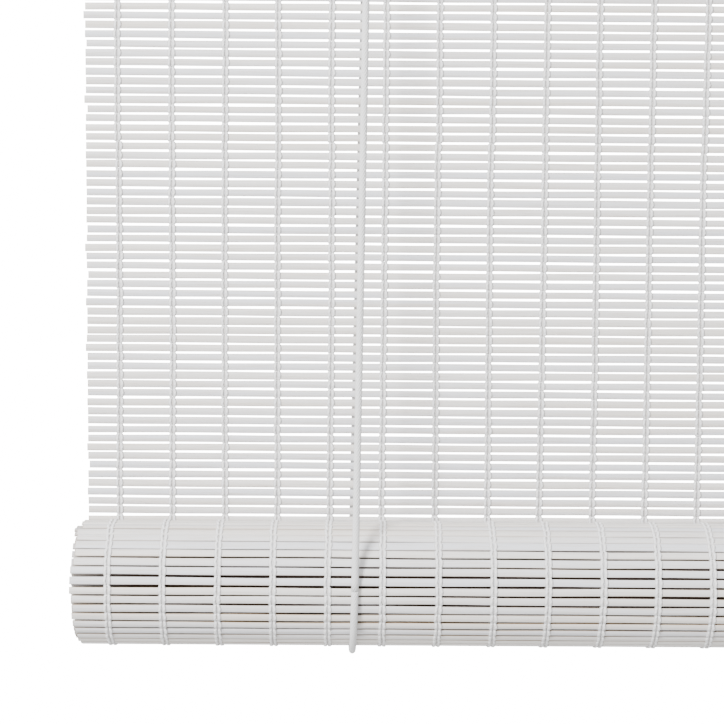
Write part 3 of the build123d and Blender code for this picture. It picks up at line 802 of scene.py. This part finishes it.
# %% Yarn and cord
def yarn_material():
    """Bright matt cotton with a slanting ply groove along each strand, painted shade in the grooves, and
    painted shade where strands lie together.

    The side shade is the cube of the size of the cosine of the angle round the strand, strongest at its two
    sides.
    """
    clean_yarn = (0.95, 0.945, 0.95)
    yarn_groove_shade = (0.74, 0.71, 0.68)
    painted_strand_shade = (0.52, 0.50, 0.49)
    material, tree, shader = new_material("cotton_yarn", (0.94, 0.935, 0.94), 0.92)
    twist = group_node(tree, fibre_twist, Turns=1.1, Strands=2.0, Braid=0.0)
    # Painted shade in the twist's grooves.
    groove_shade = math_node(tree, "MULTIPLY", twist.outputs["Groove"], 0.3)
    colour = mix(tree, groove_shade, clean_yarn, yarn_groove_shade)
    # Painted shade at each strand's two sides, where it lies against the next strand and the slat.
    parts = place(tree, "ShaderNodeSeparateXYZ", [(0, place(tree, "ShaderNodeTexCoord").outputs["UV"])])
    beside = math_node(tree, "COSINE", math_node(tree, "MULTIPLY", parts.outputs["X"], 2 * np.pi), 0.0)
    beside = math_node(tree, "POWER", math_node(tree, "ABSOLUTE", beside, 0.0), 3.0)
    colour = mix(tree, math_node(tree, "MULTIPLY", beside, 0.75), colour, painted_strand_shade)
    tree.links.new(colour, shader.inputs["Base Color"])
    add_bump(tree, shader, twist.outputs["Height"], 0.06 * mm)
    shader.inputs["Sheen Weight"].default_value = 0.25
    return material


def cord_material():
    """White braid: two sets of slanting strands that cross, with painted shade in the grooves between them.
    """
    clean_braid = (0.87, 0.87, 0.87)
    braid_groove_shade = (0.6, 0.6, 0.6)
    material, tree, shader = new_material("braided_cord", (0.86, 0.86, 0.86), 0.75)
    twist = group_node(tree, fibre_twist, Turns=1.6, Strands=8.0, Braid=1.0)
    # Painted shade in the braid's grooves.
    groove_shade = math_node(tree, "MULTIPLY", twist.outputs["Groove"], 0.22)
    tree.links.new(mix(tree, groove_shade, clean_braid, braid_groove_shade), shader.inputs["Base Color"])
    add_bump(tree, shader, twist.outputs["Height"], 0.09 * mm)
    shader.inputs["Sheen Weight"].default_value = 0.2
    return material


cotton = yarn_material()
braid = cord_material()
print("soft materials:", cotton.name, braid.name)

# %% [markdown]
# ## Hard parts
# Battens and bell are painted wood, brackets and housings are coated steel, pins, screws and staples are
# plated steel, and the wheels and the cam are moulded plastic. Each gets faint wear, because an even
# surface looks new.

# %% Painted wood, steel and plastic
def painted_wood():
    """Satin white paint over planed wood, with faint grain and rubbed patches."""
    material, tree, shader = new_material("painted_wood", (0.8, 0.79, 0.77), 0.45)
    grain = group_node(tree, wood_grain, Fineness=420.0, Streak=26.0)
    wear = group_node(tree, light_wear, Scale=28.0, Amount=0.35)
    streak = remap(tree, grain.outputs["Streaks"], 0.42, 0.75, high=0.5)
    colour = mix(tree, streak, (0.84, 0.83, 0.81), (0.60, 0.555, 0.49))
    tree.links.new(mix(tree, wear.outputs["Mask"], colour, (0.6, 0.52, 0.42)), shader.inputs["Base Color"])
    add_bump(tree, shader, grain.outputs["Streaks"], 0.35 * mm)
    return material


def coated_steel():
    """White coated steel: a fine dimple in the coat, and grey metal where it has rubbed."""
    material, tree, shader = new_material("coated_steel", (0.8, 0.8, 0.8), 0.35)
    marks = group_node(tree, light_wear, Scale=160.0, Amount=0.28).outputs["Mask"]
    tree.links.new(mix(tree, marks, (0.8, 0.8, 0.8), (0.4, 0.4, 0.41)), shader.inputs["Base Color"])
    tree.links.new(marks, shader.inputs["Metallic"])
    where = place(tree, "ShaderNodeTexCoord").outputs["Object"]
    add_bump(tree, shader, noise(tree, where, 1600.0), 0.05 * mm)
    return material


def bare_steel():
    """Bright zinc plated wire and screws, with a mottled finish."""
    material, tree, shader = new_material("plated_steel", (0.62, 0.62, 0.63), 0.35)
    shader.inputs["Metallic"].default_value = 1.0
    marks = group_node(tree, light_wear, Scale=500.0, Amount=0.8).outputs["Mask"]
    tree.links.new(mix(tree, marks, (0.66, 0.66, 0.67), (0.4, 0.39, 0.37)), shader.inputs["Base Color"])
    tree.links.new(remap(tree, marks, 0.0, 1.0, 0.28, 0.6), shader.inputs["Roughness"])
    return material


def moulded_plastic():
    """Glossy white plastic with a very fine unevenness and handling marks."""
    material, tree, shader = new_material("moulded_plastic", (0.82, 0.82, 0.8), 0.28)
    marks = group_node(tree, light_wear, Scale=220.0, Amount=0.3).outputs["Mask"]
    tree.links.new(mix(tree, marks, (0.83, 0.83, 0.81), (0.7, 0.68, 0.64)), shader.inputs["Base Color"])
    tree.links.new(remap(tree, marks, 0.0, 1.0, 0.24, 0.55), shader.inputs["Roughness"])
    return material


wood = painted_wood()
coat = coated_steel()
plated = bare_steel()
plastic = moulded_plastic()
print("hard materials:", wood.name, coat.name, plated.name, plastic.name)

# %% [markdown]
# ## Dressing the blind
# A material is set on the pieces made above and on the CAD nodes that are shown as they are. The lists name
# the nodes by what they are made of, so a look is changed for all of them in one place.

# %% Give every piece its material
def dress(pieces, material):
    """Sets one material on each piece or CAD node."""
    for piece in pieces:
        piece.data.materials.clear()
        piece.data.materials.append(material)
    print(material.name, "on", len(pieces), "pieces")


dress([upper_slats, drop_slats, outer_roll, inner_roll], bamboo)
dress([upper_yarn, drop_yarn_high, drop_yarn_low, outer_yarn, inner_yarn], cotton)
dress(cords + knots, braid)
wooden = ["head_batten", "back_clamp_strip", "bottom_batten", "pull_bell"]
coated = ["left_hanger", "right_hanger", "left_pulley_housing", "right_pulley_housing", "cord_lock_body"]
moulded = ["left_sheave", "right_rear_sheave", "right_front_sheave", "lock_roller", "lock_cam"]
metal = ["hanger_screws", "pulley_screws", "lock_screws", "clamp_staples", "cord_anchor_staples",
         "bottom_staples", "left_sheave_pin", "right_sheave_pin", "lock_roller_pin", "lock_cam_pin"]
for names, material in ((wooden, wood), (coated, coat), (moulded, plastic), (metal, plated)):
    dress([nodes[name] for name in names], material)

# %% [markdown]
# ## Stage
# A white surround lights the blind softly from all sides and shows through the gaps between the slats. A
# lamp from the upper left gives the slats, the yarn and the cord their shading, and a pale floor lies below,
# deep enough for the bell to hang free when the roll is right up.

# %% Floor
def pale_floor(z, half_side):
    """A level square round the origin at height z."""
    mesh = bpy.data.meshes.new("floor")
    corners = [(x * half_side, y * half_side, z) for x, y in ((-1, -1), (1, -1), (1, 1), (-1, 1))]
    mesh.from_pydata(corners, [], [(0, 1, 2, 3)])
    piece = bpy.data.objects.new("floor", mesh)
    bpy.context.scene.collection.objects.link(piece)
    mesh.materials.append(new_material("floor", (0.74, 0.74, 0.73), 0.9)[0])


floor_drop = 1.0
floor_half_side = 3
pale_floor(roll_z - floor_drop, floor_half_side)
print("floor at", round(roll_z - floor_drop, 3))

# %% [markdown]
# ## Surround
# The surround lights more from above and from the left than from below and the right, by the direction of
# the ray. The camera itself sees an even white that the view transform shows as pure white.

# %% White surround
level_light = 0.92
more_above = 0.55
more_right = -0.6
seen_white = 17.0

world = bpy.data.worlds.new("white_room")
bpy.context.scene.world = world
world.use_nodes = True
sky = world.node_tree
surround = sky.nodes["Background"]
surround.inputs["Color"].default_value = (1, 1, 1, 1)
way = place(sky, "ShaderNodeSeparateXYZ", [(0, place(sky, "ShaderNodeTexCoord").outputs["Generated"])])
overhead = math_node(sky, "MULTIPLY_ADD", way.outputs["Z"], more_above)
overhead.node.inputs[2].default_value = level_light
sideways = math_node(sky, "MULTIPLY", way.outputs["X"], more_right)
sky.links.new(math_node(sky, "ADD", overhead, sideways), surround.inputs["Strength"])
seen = place(sky, "ShaderNodeBackground", [("Color", (1, 1, 1, 1)), ("Strength", seen_white)])
to_camera = place(sky, "ShaderNodeLightPath").outputs["Is Camera Ray"]
chosen = place(sky, "ShaderNodeMixShader", [(0, to_camera), (1, surround.outputs[0]), (2, seen.outputs[0])])
sky.links.new(chosen.outputs[0], sky.nodes["World Output"].inputs["Surface"])
print("surround:", world.name, "with", len(sky.nodes), "nodes")

# %% [markdown]
# ## Lamp
# One square area lamp stands to the left of the camera and above it. The smaller it is, the sharper the
# shadows beside the cord and the yarn, which the surround alone would leave flat.

# %% Lamp
key_side = 0.45
key_power = 70.0
key_place = Vector((-0.9, -1.5, 0.5))
key_target = Vector((-0.12, -0.04, -0.5))

key_light = bpy.data.lights.new("key_light", "AREA")
key_light.size = key_side
key_light.energy = key_power
key_lamp = bpy.data.objects.new("key_light", key_light)
key_lamp.location = key_place
key_lamp.rotation_euler = (key_target - key_place).to_track_quat("-Z", "Y").to_euler()
bpy.context.scene.collection.objects.link(key_lamp)
print("lamp:", key_power, "W,", key_side, "m square")

# %% [markdown]
# ## Camera
# The camera looks slightly down at the lower left corner of the blind. Its axes are worked out from three
# angles, so the slight turn about its own line of sight can be set apart from the other two.

# %% Camera
camera_lens = 110.6
camera_angles = (6.524, 0.256, 0.399)
camera_place = (-0.1434, mat_y - 1.3092, roll_z + 0.2743)

camera_data = bpy.data.cameras.new("camera")
camera_data.sensor_width = 36
camera_data.lens = camera_lens
camera_data.clip_start = 0.01
camera = bpy.data.objects.new("camera", camera_data)
pitch, yaw, tilt = np.radians(camera_angles)
ahead = np.array([np.sin(yaw) * np.cos(pitch), np.cos(yaw) * np.cos(pitch), -np.sin(pitch)])
level = np.array([np.cos(yaw), -np.sin(yaw), 0.0])
upward = np.cross(level, ahead)
right = level * np.cos(tilt) + upward * np.sin(tilt)
up = -level * np.sin(tilt) + upward * np.cos(tilt)
turn = Matrix(np.stack([right, up, -ahead], axis=1).tolist())
camera.matrix_world = Matrix.Translation(camera_place) @ turn.to_4x4()
bpy.context.scene.collection.objects.link(camera)
bpy.context.scene.camera = camera
print("camera at", np.round(camera_place, 3).tolist(), "with a", camera_lens, "mm lens")
